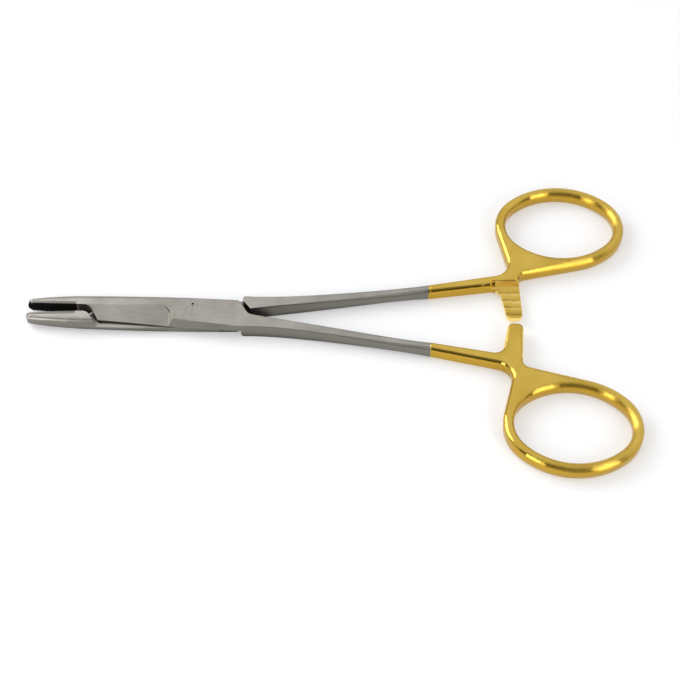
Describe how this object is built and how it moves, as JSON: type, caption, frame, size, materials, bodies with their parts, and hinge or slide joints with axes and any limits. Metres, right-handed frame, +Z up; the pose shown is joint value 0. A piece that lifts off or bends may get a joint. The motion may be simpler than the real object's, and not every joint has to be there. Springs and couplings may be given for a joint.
{
  "type": "surgical needle holder",
  "caption": "Scissor-type surgical needle holder with serrated hard jaw inserts, suture-cutting blades behind the jaws, screw lap joint, ratchet bars and gilt finger rings.",
  "frame": {"origin": "on the joint screw's axis, in the plane that the instrument lies on, which is the back face of the lap joint", "axes": "+X along the instrument from the joint towards the finger rings, jaws towards -X, +Y across it towards the rear arm's ring, +Z up out of the lap's back face"},
  "size_m": [0.1397, 0.0834, 0.0038],
  "materials": {
    "front_arm": "satin, handle plated in polished gold",
    "rear_arm": "satin, handle plated in polished gold",
    "jaw_insert": "dark, cross-serrated hard metal",
    "joint_screw": "satin"
  },
  "bodies": {
    "rear_half": {"rear_arm": "rear_arm", "rear_jaw_insert": "jaw_insert"},
    "front_half": {"front_arm": "front_arm", "front_jaw_insert": "jaw_insert", "joint_screw": "joint_screw"}
  },
  "joints": [
    {"name": "lap_hinge", "type": "hinge", "parent": "rear_half", "child": "front_half", "pos_m": [0, 0, 0], "axis": [0, 0, -1], "range_deg": [-3.8, 56]}
  ]
}
